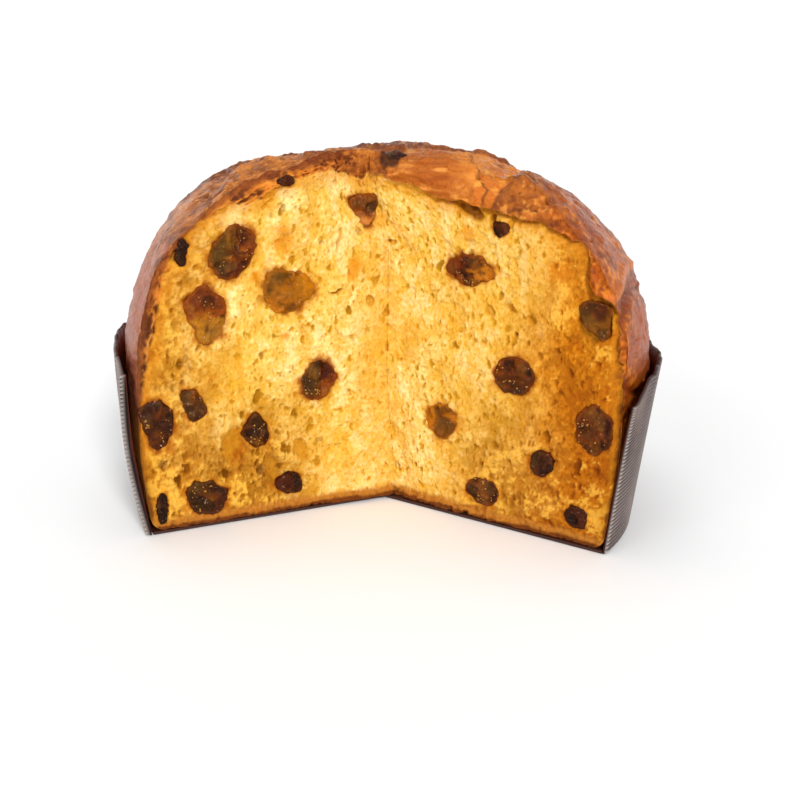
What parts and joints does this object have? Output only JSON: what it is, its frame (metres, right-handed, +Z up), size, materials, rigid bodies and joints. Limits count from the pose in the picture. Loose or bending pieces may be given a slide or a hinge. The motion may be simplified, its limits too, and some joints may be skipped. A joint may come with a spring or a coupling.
{
  "type": "cut panettone in a paper case",
  "caption": "Low domed round of sweet fruit bread in its ribbed paper case, with a wide wedge cut out of the front and fruit in the cut faces.",
  "frame": {"origin": "on the axis of the round paper case, at the plane the case stands on", "axes": "+Z up along the axis of the round; -Y towards the front, where the missing wedge opens; +X to the right"},
  "size_m": [0.2132, 0.1673, 0.1412],
  "materials": {
    "bread": "soft yellow crumb with an orange-brown crust",
    "paper_case": "dark brown baking paper",
    "fig": "moist dark brown fig",
    "candied_peel": "moist amber peel",
    "raisin": "dark wrinkled raisin"
  },
  "bodies": {
    "root": {"bread": "bread", "paper_wall": "paper_case", "paper_base": "paper_case", "fig_upper_left": "fig", "amber_peel_left": "candied_peel", "fig_shoulder_left": "fig", "fig_middle_left": "fig", "peel_strip_left": "candied_peel", "fig_low_middle": "fig", "fig_by_case_left": "fig", "fig_low_left": "fig", "raisin_low_middle": "raisin", "peel_near_crease": "candied_peel", "raisin_crust_left": "raisin", "raisin_crown_left": "raisin", "raisin_corner_left": "raisin", "fig_upper_right": "fig", "raisin_crown_right": "raisin", "peel_shoulder_right": "candied_peel", "fig_low_right": "fig", "amber_peel_right": "candied_peel", "fig_by_case_right": "fig", "raisin_low_right": "raisin", "fig_foot_right": "fig", "raisin_foot_right": "raisin", "raisin_crown_front": "raisin", "raisin_dome_right": "raisin", "raisin_dome_back": "raisin", "raisin_dome_back_left": "raisin", "raisin_dome_left": "raisin"}
  },
  "joints": []
}
